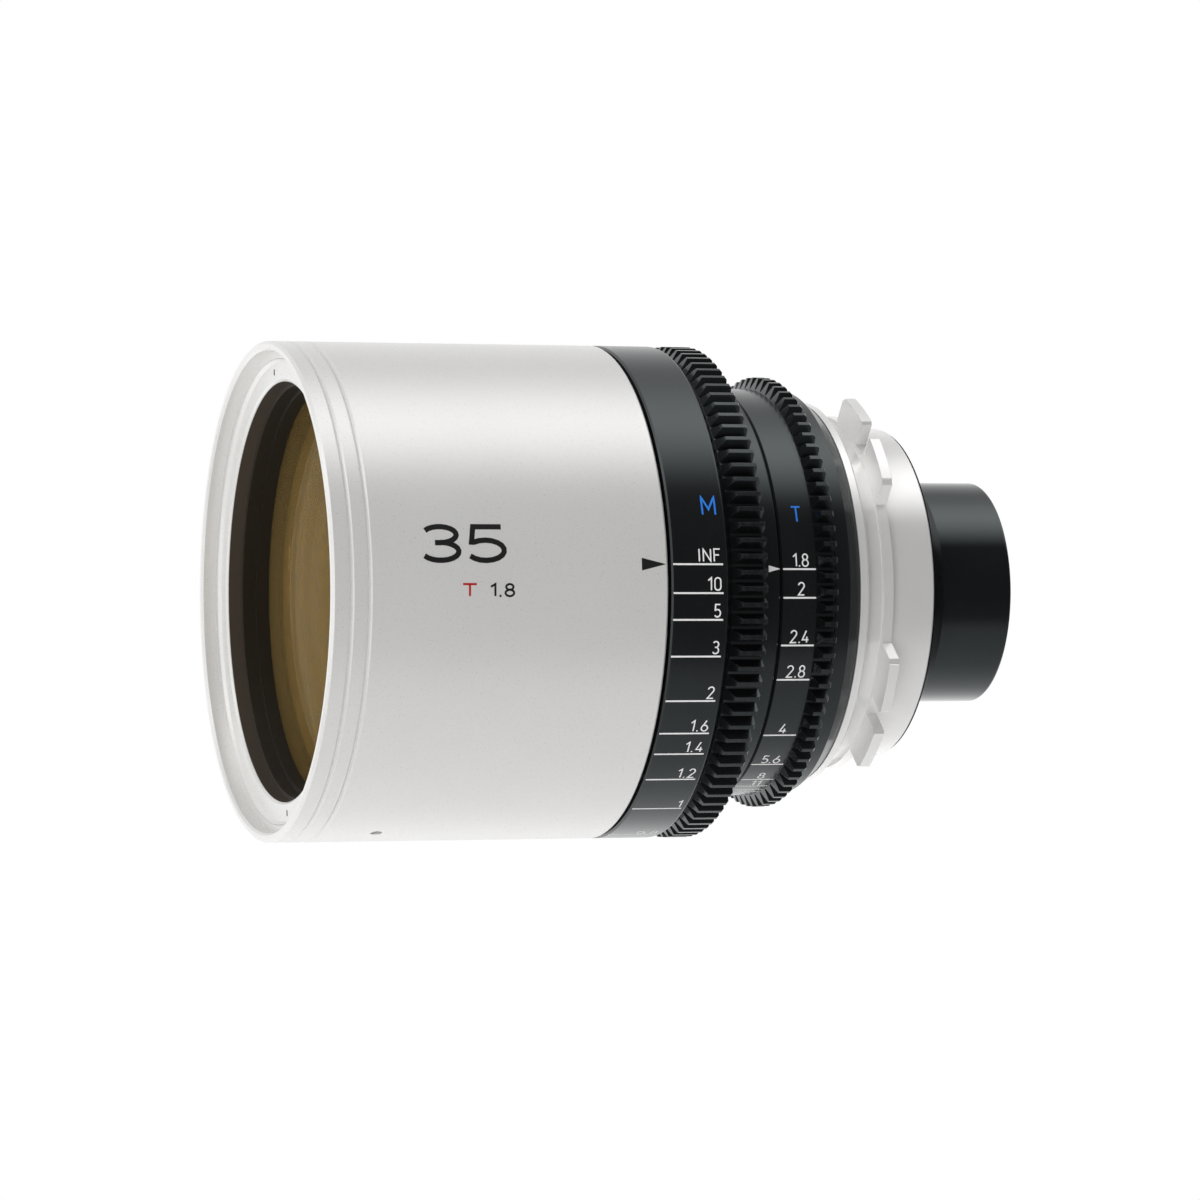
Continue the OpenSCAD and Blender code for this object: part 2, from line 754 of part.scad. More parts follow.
// Black hollow cone from the throat down to the rear tube, with a spigot inside the mount
module rear_collar() {
    spigot_r = mount_bore_r - slip;
    foot = [collar_end_r, z_collar_end];
    rise = [collar_r, z_collar] - foot;
    inward = unit([-rise.y, rise.x]);
    color("#202020") lens_frame() difference() {
        revolve(concat(
            [[tube_r + slip, z_collar_end]],
            [for (i = [0 : collar_steps])
                let (t = i / collar_steps)
                foot + rise * t + inward * 4 * collar_hollow * t * (1 - t)],
            [[spigot_r - collar_relief, z_collar], [spigot_r - collar_relief, z_throat],
             [spigot_r, z_throat], [spigot_r, z_throat + spigot_l],
             [spigot_r - spigot_wall, z_throat + spigot_l], [spigot_r - spigot_wall, z_throat],
             [tube_r + slip, z_throat]]
        ));
        around(collar_grub_count)
            spoke(0, z_collar_grub, tube_r - over, collar_r + over, collar_grub_r + slip);
    }
}

module collar_screws() {
    cone_at_grub_r = collar_end_r + (collar_r - collar_end_r) * collar_grub_inset / collar_l;
    grub_end_r = cone_at_grub_r - collar_hollow - collar_grub_recess;
    color("#404040") lens_frame() around(collar_grub_count)
        spoke(0, z_collar_grub, tube_r + slip, grub_end_r, collar_grub_r);
}

// Rear lens tube with a rounded end
module rear_tube() {
    z_end = -tube_l;
    z_nose = z_mount + tube_nose;
    lip_r = tube_bore_r - glass_lip;
    arc_step = 15;
    color("#202020") lens_frame() revolve(concat(
        [[tube_bore_r, z_end], [tube_r - tube_edge, z_end]],
        [for (a = [arc_step - 90 : arc_step : 0])
            [tube_r - tube_edge, z_end + tube_edge] + polar(tube_edge, a)],
        [[tube_r, z_nose], [tube_bore_r, z_nose], [tube_bore_r, z_relay], [lip_r, z_relay],
         [lip_r, z_rear_shoulder], [tube_bore_r, z_rear_shoulder]]
    ));
}

module relay_element() {
    front_curve = 60;
    back_curve = -120;
    color("lightsteelblue", 0.5) lens_frame()
        glass(rear_glass_r, z_relay, relay_edge, front_curve, back_curve);
}

module relay_retainer() {
    z0 = z_relay + relay_edge;
    color("#303030") lens_frame()
        ring(rear_glass_r, rear_glass_r - glass_lip, z0, z0 + retainer_t);
}

module rear_spacer() {
    color("#303030") lens_frame()
        ring(rear_glass_r, rear_glass_r - glass_lip, z_rear_glass + rear_glass_edge, z_rear_shoulder);
}

module rear_element() {
    front_curve = 70;
    back_curve = 90;
    color("lightsteelblue", 0.5) lens_frame()
        glass(rear_glass_r, z_rear_glass, rear_glass_edge, front_curve, back_curve);
}

module rear_retainer() {
    color("#303030") lens_frame()
        ring(rear_glass_r, rear_glass_r - glass_lip, z_rear_retainer, z_rear_glass);
}

// Focus ring: smooth scale band, groove and gear, with an inner lip that is screwed to the cam tube
module focus_ring() {
    round_mid = [barrel_r - band_round, z_focus_band + band_round];
    color("#181818") lens_frame() difference() {
        union() {
            revolve(concat(
                [[focus_bore_r, z_focus], [focus_floor_r, z_focus], [focus_floor_r, z_focus_groove]],
                [for (i = [0 : band_round_steps])
                    round_mid + polar(band_round, 90 * (i / band_round_steps - 1))],
                [[barrel_r, z_focus_front - edge_bevel], [barrel_r - edge_bevel, z_focus_front],
                 [focus_bore_r, z_focus_front]]
            ));
            gear_rim(focus_teeth, barrel_r, focus_floor_r, z_focus, focus_gear_l, focus_gear_bevel);
            ring(focus_bore_r + over, cam_bore_r, z_focus, z_focus + lip_l);
        }
        around(cam_screw_count) translate([cam_screw_circle_r, 0, z_focus - over]) {
            cylinder(h = lip_l + 2 * over, r = cam_screw_r + slip);
            cylinder(h = lip_l / 2 + over, r = cam_screw_head_r + slip);
        }
    }
}

// Solid along a rising helix, cut from the cam tube as the track of a cam pin
module helix_track() {
    half_w = cam_pin_r + running;
    r0 = cam_bore_r - over;
    r1 = cam_r + over;
    corners = [[r0, -half_w], [r1, -half_w], [r1, half_w], [r0, half_w]];
    steps = [for (i = [0 : helix_steps]) i / helix_steps];
    points = [
        for (t = steps)
            for (c = corners)
                concat(polar(c[0], -focus_range * t), z_cam_pin + focus_travel * t + c[1])
    ];
    sides = [
        for (i = [0 : helix_steps - 1])
            for (k = [0 : 3])
                for (f = [[4 * i + k, 4 * i + 4 + (k + 1) % 4, 4 * i + (k + 1) % 4],
                          [4 * i + k, 4 * i + 4 + k, 4 * i + 4 + (k + 1) % 4]]) f
    ];
    last = 4 * helix_steps;
    caps = [[0, 1, 2], [0, 2, 3], [last, last + 2, last + 1], [last, last + 3, last + 2]];
    polyhedron(points, concat(sides, caps));
    spoke(0, z_cam_pin, r0, r1, half_w + slot_relief);
    spoke(-focus_range, z_cam_pin + focus_travel, r0, r1, half_w + slot_relief);
}

module focus_cam_tube() {
    color("#909090") lens_frame() difference() {
        ring(cam_r, cam_bore_r, z_cam_tube, z_cam_front);
        around(cam_pin_count, cam_pin_start) helix_track();
        around(cam_screw_count)
            translate([cam_screw_circle_r, 0, z_cam_tube - over])
                cylinder(h = over + cam_screw_bite + cam_hole_extra, r = cam_screw_r + slip);
    }
}

module focus_screws() {
    head_l = lip_l / 2 - slip;
    color("dimgray") lens_frame() around(cam_screw_count)
        translate([cam_screw_circle_r, 0, z_focus + slip]) {
            cylinder(h = head_l, r = cam_screw_head_r);
            cylinder(h = lip_l + cam_screw_bite, r = cam_screw_r);
        }
}

// Sliding cell with a shoulder between its two glasses
module focus_cell() {
    bore_r = focus_glass_r + slip;
    shoulder_r = focus_glass_r - glass_lip;
    color("#484848") lens_frame() difference() {
        revolve([
            [bore_r, z_focus_cell], [focus_cell_r, z_focus_cell],
            [focus_cell_r, z_focus_cell + focus_cell_l], [bore_r, z_focus_cell + focus_cell_l],
            [bore_r, z_focus_glass], [shoulder_r, z_focus_glass], [shoulder_r, z_focus_shoulder],
            [bore_r, z_focus_shoulder]
        ]);
        around(cam_pin_count, cam_pin_start)
            spoke(0, z_cam_pin, focus_cell_r - cam_pin_seat, focus_cell_r + over, cam_pin_r + slip);
    }
}

module focus_front_element() {
    front_curve = 75;
    back_curve = 140;
    color("lightsteelblue", 0.5) lens_frame()
        glass(focus_glass_r, z_focus_glass, focus_glass_edge, front_curve, back_curve);
}

module focus_front_retainer() {
    z0 = z_focus_glass + focus_glass_edge;
    color("#303030") lens_frame()
        ring(focus_glass_r, focus_glass_r - glass_lip, z0, z0 + retainer_t);
}

module focus_rear_element() {
    front_curve = -260;
    back_curve = -150;
    color("lightsteelblue", 0.5) lens_frame()
        glass(focus_glass_r, z_focus_shoulder - focus_rear_edge, focus_rear_edge, front_curve, back_curve);
}

module focus_rear_retainer() {
    z1 = z_focus_shoulder - focus_rear_edge;
    color("#303030") lens_frame()
        ring(focus_glass_r, focus_glass_r - glass_lip, z1 - retainer_t, z1);
}

module cam_pins() {
    color("goldenrod") lens_frame() around(cam_pin_count, cam_pin_start)
        spoke(0, z_cam_pin, focus_cell_r - cam_pin_seat + slip, cam_r - running, cam_pin_r);
}

// Iris ring: smooth scale band and gear, with a blind hole inside for the drive pin
module iris_ring() {
    color("#181818") lens_frame() difference() {
        union() {
            revolve([
                [iris_bore_r, z_iris], [iris_floor_r, z_iris], [iris_floor_r, z_iris_front - edge_bevel],
                [iris_floor_r - edge_bevel, z_iris_front], [iris_bore_r, z_iris_front]
            ]);
            gear_rim(iris_teeth, iris_gear_r, iris_floor_r, z_iris, iris_gear_l, iris_gear_bevel);
        }
        spoke(drive_angle, z_drive, iris_bore_r - over, iris_bore_r + drive_pin_bite + running,
            drive_pin_r + slip);
    }
}

module iris_drive_pin() {
    color("goldenrod") lens_frame()
        spoke(drive_angle, z_drive, cam_plate_r - drive_pin_reach, iris_bore_r + drive_pin_bite, drive_pin_r);
}

// Place of a blade's drive pin about its pivot, and the same place seen from the turning cam plate
function blade_pin(t) = polar(pivot_r, 0) + polar(blade_lever, lever_start + blade_swing * t);
function track_mid(t) = turned(blade_pin(t), -iris_range * t);
function track_side(t, offset) =
    let (run = unit(track_mid(t + tangent_step) - track_mid(t - tangent_step)))
    track_mid(t) + offset * [-run.y, run.x];

// Spiral track that turns each blade at a steady rate
module cam_track() {
    half_w = blade_pin_r + running;
    steps = [for (i = [0 : slot_steps]) i / slot_steps];
    cut_l = cam_plate_t + 2 * over;
    translate([0, 0, z_cam_plate - over]) {
        linear_extrude(cut_l) polygon(concat(
            [for (t = steps) track_side(t, half_w)],
            [for (i = [slot_steps : -1 : 0]) track_side(steps[i], -half_w)]
        ));
        for (t = [0, 1]) translate(track_mid(t)) cylinder(h = cut_l, r = half_w);
    }
}

module iris_cam_plate() {
    color("#707070") lens_frame() difference() {
        ring(cam_plate_r, cam_plate_r - cam_plate_w, z_cam_plate, z_cam_plate + cam_plate_t);
        around(blade_count) cam_track();
        spoke(drive_angle, z_drive, cam_plate_r - drive_pin_reach - running, cam_plate_r + over,
            drive_pin_r + slip);
    }
}

// Sickle blade in its own layer, with a pivot pin behind it and a drive pin in front of it
module iris_blade(n) {
    z0 = z_blades + (n - 1) * layer_pitch;
    mid_r = blade_inner_r + blade_w / 2;
    pin = blade_pin(0);
    color("#505050") lens_frame() rotate([0, 0, (n - 1) * 360 / blade_count]) {
        sector(blade_outer_r, blade_inner_r, z0, z0 + blade_t, 0, blade_span);
        rotate([0, 0, blade_span]) translate([mid_r, 0, z0]) cylinder(h = blade_t, r = blade_w / 2);
        translate([mid_r, 0, z0]) cylinder(h = blade_t, r = blade_w / 2);
        translate([mid_r, -blade_ear_r, z0]) cube([pivot_r - mid_r, 2 * blade_ear_r, blade_t]);
        translate([pivot_r, 0, z0]) {
            cylinder(h = blade_t, r = blade_ear_r);
            rotate([0, 0, lever_start])
                translate([0, -blade_pin_ear_r, 0]) cube([blade_lever, 2 * blade_pin_ear_r, blade_t]);
        }
        translate([pin.x, pin.y, z0]) {
            cylinder(h = blade_t, r = blade_pin_ear_r);
            cylinder(h = z_cam_plate + cam_plate_t - z0, r = blade_pin_r);
        }
        translate([pivot_r, 0, z_unit + layer_gap]) cylinder(h = z0 - z_unit, r = pivot_pin_r);
    }
}

filter_ring();
name_ring();
front_band();
front_retainer();
front_element();
second_element();
second_retainer();
front_cell();
barrel_sleeve();
sleeve_screws();
light_baffle();
main_barrel();
focus_washers();
index_ring();
iris_housing();
iris_retainer();
rear_cone();
mount_shim();
bayonet_mount();
mount_screws();
rear_collar();
collar_screws();
rear_tube();
relay_element();
relay_retainer();
rear_spacer();
rear_element();
rear_retainer();
focus_ring();
focus_cam_tube();
focus_screws();
focus_cell();
focus_front_element();
focus_front_retainer();
focus_rear_element();
focus_rear_retainer();
cam_pins();
iris_ring();
iris_cam_plate();
iris_drive_pin();
iris_blade(1);  // iris_blade_1
iris_blade(2);  // iris_blade_2
iris_blade(3);  // iris_blade_3
iris_blade(4);  // iris_blade_4
iris_blade(5);  // iris_blade_5
iris_blade(6);  // iris_blade_6
iris_blade(7);  // iris_blade_7
iris_blade(8);  // iris_blade_8
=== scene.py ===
"""Looks and studio scene for the cinema prime lens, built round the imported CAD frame."""
import math

import bpy
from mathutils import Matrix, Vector


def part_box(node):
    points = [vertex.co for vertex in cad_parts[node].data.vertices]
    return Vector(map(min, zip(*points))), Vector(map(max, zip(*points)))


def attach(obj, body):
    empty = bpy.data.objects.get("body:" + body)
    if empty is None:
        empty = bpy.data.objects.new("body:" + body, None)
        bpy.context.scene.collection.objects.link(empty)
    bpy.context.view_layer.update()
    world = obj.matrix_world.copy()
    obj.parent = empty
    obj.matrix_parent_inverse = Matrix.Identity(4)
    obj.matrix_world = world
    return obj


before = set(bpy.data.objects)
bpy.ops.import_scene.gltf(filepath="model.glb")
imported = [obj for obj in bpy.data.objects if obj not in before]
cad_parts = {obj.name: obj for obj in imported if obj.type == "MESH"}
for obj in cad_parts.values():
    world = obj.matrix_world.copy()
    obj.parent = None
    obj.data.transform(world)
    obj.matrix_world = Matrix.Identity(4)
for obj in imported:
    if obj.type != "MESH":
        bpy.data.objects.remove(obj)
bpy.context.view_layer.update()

MM = 0.001

# Ends and radii of the rings, from the frame: the optical axis is Y, with the front at -Y
BARREL_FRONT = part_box("filter_ring")[0][1]
BARREL_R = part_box("barrel_sleeve")[1][0]
SLEEVE_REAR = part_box("barrel_sleeve")[1][1]
RETAINER_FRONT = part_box("front_retainer")[0][1]
NAME_RING_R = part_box("name_ring")[1][0]
FOCUS_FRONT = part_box("focus_ring")[0][1]
FOCUS_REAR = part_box("focus_ring")[1][1]
INDEX_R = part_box("index_ring")[1][0]
INDEX_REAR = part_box("index_ring")[1][1]
IRIS_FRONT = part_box("iris_ring")[0][1]
IRIS_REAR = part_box("iris_ring")[1][1]
IRIS_TIP_R = max(math.hypot(v.co.x, v.co.z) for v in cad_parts["iris_ring"].data.vertices)

# Gear rings, and the step from the tips of the iris teeth down to the iris scale
FOCUS_GEAR_FRONT = FOCUS_REAR - 5.5 * MM
IRIS_GEAR_FRONT = IRIS_REAR - 3.1 * MM
IRIS_BAND_R = IRIS_TIP_R - 1.9 * MM

# Key notches of the name ring, whose painted shade is black: radius of their middles, half sizes and soft
# edge
NOTCH_R = NAME_RING_R - 1.8 * MM
NOTCH_HALF_DEPTH = 0.48 * MM
NOTCH_HALF_WIDTH = 0.3 * MM
NOTCH_EDGE = 0.02 * MM

# Angle of the index marks above the +X side
INDEX_ROLL = math.radians(6.16)

# Paint stands this far proud of the metal, and its underside is let in this deep
PAINT_PROUD = 0.008 * MM
PAINT_SUNK = 0.05 * MM
# Longest straight step of a stroke, so that the marks follow the round metal
STROKE_STEP = 0.4 * MM


# Materials

class NodeTree:
    """A node tree, with helpers that add to it."""

    def __init__(self, tree):
        self.tree = tree

    def feed(self, socket, source):
        """Set a socket to a number or tuple, or link it to another socket."""
        if isinstance(source, (int, float, tuple)):
            socket.default_value = source
        else:
            self.tree.links.new(source, socket)

    def node(self, kind, *sources, **settings):
        """New node, with its first inputs fed by these sources."""
        made = self.tree.nodes.new(kind)
        for key, value in settings.items():
            setattr(made, key, value)
        for socket, source in zip(made.inputs, sources):
            self.feed(socket, source)
        return made

    def math(self, operation, *values):
        return self.node("ShaderNodeMath", *values, operation=operation).outputs["Value"]

    def remap(self, value, low, high, to_low, to_high):
        """Value carried over from one range to another, and held at its ends."""
        return self.node("ShaderNodeMapRange", value, low, high, to_low, to_high).outputs["Result"]

    def cover(self, surface, layer, share):
        """Surface with a share of another layer over it."""
        return self.node("ShaderNodeMixShader", share, surface, layer).outputs["Shader"]


class Shader(NodeTree):
    """A material with one Principled shader, and helpers that add detail to it."""

    def __init__(self, name, color, roughness, metallic=0.0):
        self.material = bpy.data.materials.new(name)
        self.material.use_nodes = True
        self.material.diffuse_color = (*color, 1.0)
        super().__init__(self.material.node_tree)
        self.bsdf = self.tree.nodes["Principled BSDF"]
        self.color = color
        self.set("Base Color", (*color, 1.0))
        self.set("Roughness", roughness)
        self.set("Metallic", metallic)
        self.coords = self.node("ShaderNodeTexCoord").outputs["Object"]

    def set(self, socket, source):
        """Feed a socket of the Principled shader."""
        self.feed(self.bsdf.inputs[socket], source)

    def noise(self, feature, detail=2.0, stretch=(1.0, 1.0, 1.0)):
        """Noise whose features are about this many metres across."""
        mapping = self.node("ShaderNodeMapping", self.coords)
        mapping.inputs["Scale"].default_value = stretch
        made = self.node("ShaderNodeTexNoise", mapping.outputs["Vector"])
        made.inputs["Scale"].default_value = 1.0 / feature
        made.inputs["Detail"].default_value = detail
        return made.outputs["Fac"]

    def blend(self, share, first, second):
        """Colour that goes from first to second."""
        made = self.node("ShaderNodeMix", share, data_type="RGBA")
        for name, color in (("A", first), ("B", second)):
            socket = [s for s in made.inputs if s.name == name and s.type == "RGBA"][0]
            self.feed(socket, (*color, 1.0) if isinstance(color, tuple) else color)
        return [s for s in made.outputs if s.type == "RGBA"][0]

    def tone(self, feature, first, second, contrast=0.2):
        """Slow colour change over the surface."""
        share = self.remap(self.noise(feature, 3.0), 0.5 - contrast, 0.5 + contrast, 0.0, 1.0)
        self.color = self.blend(share, first, second)
        self.set("Base Color", self.color)

    def stain(self, share, color):
        """Another colour over this share of the surface."""
        self.color = self.blend(share, self.color, color)
        self.set("Base Color", self.color)

    def grain(self, feature, height, rough_low, rough_high, stretch=(1.0, 1.0, 1.0), edge=0.0):
        """Fine grain in the roughness and the normal, with softened edges of radius edge."""
        noise = self.noise(feature, 2.0, stretch)
        self.set("Roughness", self.remap(noise, 0.3, 0.7, rough_low, rough_high))
        bump = self.node("ShaderNodeBump")
        bump.inputs["Strength"].default_value = 1.0
        bump.inputs["Distance"].default_value = height
        self.feed(bump.inputs["Height"], noise)
        if edge > 0:
            bevel = self.node("ShaderNodeBevel", edge, samples=6)
            self.feed(bump.inputs["Normal"], bevel.outputs["Normal"])
        self.set("Normal", bump.outputs["Normal"])

    def radius(self):
        """Distance from the optical axis, in metres."""
        flat = self.node("ShaderNodeVectorMath", self.coords, (1.0, 0.0, 1.0), operation="MULTIPLY")
        length = self.node("ShaderNodeVectorMath", flat.outputs["Vector"], operation="LENGTH")
        return length.outputs["Value"]

    def across(self, angle):
        """Distance in metres from the plane through the optical axis at this angle above the +X side."""
        normal = (-math.sin(angle), 0.0, math.cos(angle))
        product = self.node("ShaderNodeVectorMath", self.coords, normal, operation="DOT_PRODUCT")
        return product.outputs["Value"]

    def station(self):
        """Place along the optical axis, in metres."""
        return self.node("ShaderNodeSeparateXYZ", self.coords).outputs["Y"]


SILVER = (0.82, 0.815, 0.8)
SILVER_WARM = (0.805, 0.798, 0.782)
PLATED = (0.92, 0.915, 0.905)
PLATED_DULL = (0.9, 0.893, 0.88)
BLACK = (0.0042, 0.0045, 0.0048)
BLACK_FADED = (0.0062, 0.0065, 0.0068)
BLACK_RUB_HIGHLIGHT = (0.02, 0.02, 0.021)
BLACK_IOR = 1.7
BLACK_TINT = (0.86, 0.97, 1.0, 1.0)
INNER_BLACK = (0.012, 0.0115, 0.011)
INNER_DUSTY = (0.017, 0.016, 0.0145)
BROWN_PAINTED_LIGHT = (0.055, 0.043, 0.032)
BAFFLE_BLACK = (0.016, 0.0125, 0.0075)
STEEL = (0.1, 0.1, 0.1)
STEEL_PALE = (0.16, 0.155, 0.15)
BLADE_DARK = (0.05, 0.05, 0.052)
BLADE_PALE = (0.08, 0.08, 0.082)
BRASS = (0.72, 0.52, 0.24)
BRASS_DULL = (0.62, 0.44, 0.19)
PLASTIC = (0.62, 0.57, 0.46)
PLASTIC_DULL = (0.56, 0.51, 0.4)

# Glass: its refraction is kept low, because the tinted coating takes the place of the bare reflection
AMBER = (0.74, 0.64, 0.42)
CLEAR = (1.0, 1.0, 1.0)
GLASS_IOR = 1.04
COATING = (1.0, 0.7, 0.26)
COATING_ROUGHNESS = 0.02
COATING_SHARE = 0.025
# The painted reflection, a diffuse amber veil, covers the glass more and more between these two facing
# values
PAINTED_REFLECTION = (0.62, 0.42, 0.15)
PAINTED_REFLECTION_FACING = (0.3, 0.7)
PAINTED_REFLECTION_SHARE = 0.14

# The wall of the front opening has brown painted light down to this depth, and the change takes this length
PAINTED_LIGHT_DEPTH = 2.1 * MM
PAINTED_LIGHT_EDGE = 0.2 * MM
# Depth of the rub and painted highlight on the tooth tips, and the length in which it starts behind the
# front of the gear
RUB_HIGHLIGHT_DEPTH = 0.22 * MM
RUB_HIGHLIGHT_EDGE = 0.1 * MM


def satin_silver(name):
    """Satin silver anodising."""
    shader = Shader(name, SILVER, 0.3, 0.35)
    shader.tone(18 * MM, SILVER, SILVER_WARM)
    shader.grain(0.16 * MM, 0.003 * MM, 0.27, 0.34, edge=0.05 * MM)
    return shader


def silver_anodised():
    return satin_silver("silver_anodised").material


def silver_painted_notch_shade():
    """The silver of the barrel, with black painted shade in the two key notches of the name ring."""
    shader = satin_silver("silver_painted_notch_shade")
    depth = shader.math("SUBTRACT", shader.radius(), NOTCH_R)
    width = shader.across(INDEX_ROLL + math.pi / 2)
    notch_shade_masks = []
    for offset, reach in ((depth, NOTCH_HALF_DEPTH), (width, NOTCH_HALF_WIDTH)):
        distance = shader.math("ABSOLUTE", offset)
        notch_shade_masks.append(shader.remap(distance, reach - NOTCH_EDGE, reach + NOTCH_EDGE, 1.0, 0.0))
    # Painted shade: the key notches are coloured black, as if in shadow
    shader.stain(shader.math("MULTIPLY", *notch_shade_masks), BLACK)
    return shader.material


def plated_mount():
    shader = Shader("plated_mount", PLATED, 0.26, 0.45)
    shader.tone(9 * MM, PLATED, PLATED_DULL)
    shader.grain(0.08 * MM, 0.0005 * MM, 0.23, 0.27, edge=0.12 * MM)
    return shader.material


def black_finish(name, rough_low, rough_high):
    """Black anodising, whose reflections are a little cool."""
    shader = Shader(name, BLACK, rough_low)
    shader.set("IOR", BLACK_IOR)
    shader.set("Specular Tint", BLACK_TINT)
    shader.tone(7 * MM, BLACK, BLACK_FADED)
    shader.grain(0.09 * MM, 0.001 * MM, rough_low, rough_high, edge=0.06 * MM)
    return shader


def black_anodised():
    return black_finish("black_anodised", 0.2, 0.25).material


def black_polished():
    return black_finish("black_polished", 0.12, 0.16).material


def black_geared(name, tip_r, gear_front):
    """Black anodised ring whose tooth tips, behind gear_front, are a little paler, partly rubbed and partly
    a painted highlight.
    """
    shader = black_finish(name, 0.2, 0.25)
    tips = shader.remap(shader.radius(), tip_r - RUB_HIGHLIGHT_DEPTH, tip_r, 0.0, 1.0)
    behind = shader.remap(shader.station(), gear_front, gear_front + RUB_HIGHLIGHT_EDGE, 0.0, 1.0)
    patches = shader.remap(shader.noise(0.9 * MM, 3.0), 0.42, 0.68, 0.05, 0.6)
    # Paler tooth tips: partly rub, partly a painted highlight of the tooth edges
    rub_and_highlight = shader.math("MULTIPLY", shader.math("MULTIPLY", tips, behind), patches)
    shader.stain(rub_and_highlight, BLACK_RUB_HIGHLIGHT)
    return shader.material


def front_baffle():
    """Matt black that is a little brown and paler next to the front opening, as painted light."""
    shader = Shader("front_baffle", BAFFLE_BLACK, 0.6)
    painted_light_end = RETAINER_FRONT + PAINTED_LIGHT_DEPTH
    painted_light = shader.remap(shader.station(), painted_light_end, painted_light_end + PAINTED_LIGHT_EDGE, 1.0, 0.0)
    # Painted light: the wall is paler and brown near the opening, darker deeper in
    shader.stain(painted_light, BROWN_PAINTED_LIGHT)
    shader.grain(0.08 * MM, 0.003 * MM, 0.5, 0.64, edge=0.06 * MM)
    return shader.material


def matt_black():
    shader = Shader("matt_black", INNER_BLACK, 0.7)
    shader.tone(3 * MM, INNER_BLACK, INNER_DUSTY)
    shader.grain(0.06 * MM, 0.006 * MM, 0.62, 0.78)
    return shader.material


def dark_steel():
    shader = Shader("dark_steel", STEEL, 0.4, 1.0)
    shader.tone(0.6 * MM, STEEL, STEEL_PALE)
    shader.grain(0.05 * MM, 0.003 * MM, 0.34, 0.48)
    return shader.material


def blade_steel():
    shader = Shader("blade_steel", BLADE_DARK, 0.5, 1.0)
    shader.tone(4 * MM, BLADE_DARK, BLADE_PALE)
    shader.grain(0.08 * MM, 0.002 * MM, 0.42, 0.56)
    return shader.material


def turned_brass():
    shader = Shader("turned_brass", BRASS, 0.3, 1.0)
    shader.tone(1.5 * MM, BRASS, BRASS_DULL)
    shader.grain(0.1 * MM, 0.003 * MM, 0.25, 0.38, (1.0, 6.0, 1.0))
    return shader.material


def bearing_plastic():
    shader = Shader("bearing_plastic", PLASTIC, 0.5)
    shader.tone(2 * MM, PLASTIC, PLASTIC_DULL)
    shader.grain(0.1 * MM, 0.003 * MM, 0.45, 0.58)
    return shader.material


def glass(name, body):
    """Glass of body colour with a trace of dust in its gloss."""
    shader = Shader(name, body, 0.0)
    shader.set("Transmission Weight", 1.0)
    shader.set("IOR", GLASS_IOR)
    shader.set("Roughness", shader.remap(shader.noise(2.5 * MM, 4.0), 0.45, 0.8, 0.0, 0.035))
    return shader


def inner_glass():
    return glass("inner_glass", CLEAR).material


def amber_glass():
    """Front glass whose coating throws back a tinted reflection, with a painted amber reflection as a
    diffuse veil over the glass at a low angle.
    """
    shader = glass("amber_glass", AMBER)
    gloss = shader.node("ShaderNodeBsdfAnisotropic", (*COATING, 1.0), COATING_ROUGHNESS)
    # Painted reflection: a diffuse amber layer stands in for the coating's reflection at a low angle
    painted_reflection = shader.node("ShaderNodeBsdfDiffuse", (*PAINTED_REFLECTION, 1.0))
    facing = shader.node("ShaderNodeLayerWeight").outputs["Facing"]
    painted_reflection_share = shader.remap(facing, *PAINTED_REFLECTION_FACING, 0.0, PAINTED_REFLECTION_SHARE)
    surface = shader.cover(shader.bsdf.outputs["BSDF"], gloss.outputs["BSDF"], COATING_SHARE)
    surface = shader.cover(surface, painted_reflection.outputs["BSDF"], painted_reflection_share)
    shader.feed(shader.tree.nodes["Material Output"].inputs["Surface"], surface)
    return shader.material


def paint(name, color):
    shader = Shader(name, color, 0.5)
    rubbed = tuple(0.9 * channel for channel in color)
    shader.tone(0.8 * MM, color, rubbed)
    shader.grain(0.05 * MM, 0.002 * MM, 0.42, 0.58)
    return shader.material


def dress(material, *nodes):
    """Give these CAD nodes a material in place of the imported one."""
    for node in nodes:
        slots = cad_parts[node].data.materials
        slots.clear()
        slots.append(material)


SILVER_NODES = ("filter_ring", "front_band", "barrel_sleeve")
BLACK_NODES = ("index_ring", "rear_cone", "rear_collar")
INNER_NODES = (
    "second_retainer", "front_cell", "light_baffle", "main_barrel", "iris_housing", "iris_retainer",
    "relay_retainer", "rear_spacer", "rear_retainer", "focus_cam_tube", "focus_cell",
    "focus_front_retainer", "focus_rear_retainer", "iris_cam_plate",
)
STEEL_NODES = ("mount_shim", "sleeve_screws", "mount_screws", "collar_screws", "focus_screws")
BRASS_NODES = ("cam_pins", "iris_drive_pin")
INNER_GLASS_NODES = (
    "second_element", "focus_front_element", "focus_rear_element", "relay_element", "rear_element",
)
BLADE_NODES = [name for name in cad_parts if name.startswith("iris_blade_")]

dress(silver_anodised(), *SILVER_NODES)
dress(silver_painted_notch_shade(), "name_ring")
dress(plated_mount(), "bayonet_mount")
dress(black_anodised(), *BLACK_NODES)
dress(black_polished(), "rear_tube")
dress(black_geared("focus_black", BARREL_R, FOCUS_GEAR_FRONT), "focus_ring")
dress(black_geared("iris_black", IRIS_TIP_R, IRIS_GEAR_FRONT), "iris_ring")
dress(front_baffle(), "front_retainer")
dress(matt_black(), *INNER_NODES)
dress(dark_steel(), *STEEL_NODES)
dress(turned_brass(), *BRASS_NODES)
dress(bearing_plastic(), "focus_washers")
dress(amber_glass(), "front_element")
dress(inner_glass(), *INNER_GLASS_NODES)
dress(blade_steel(), *BLADE_NODES)

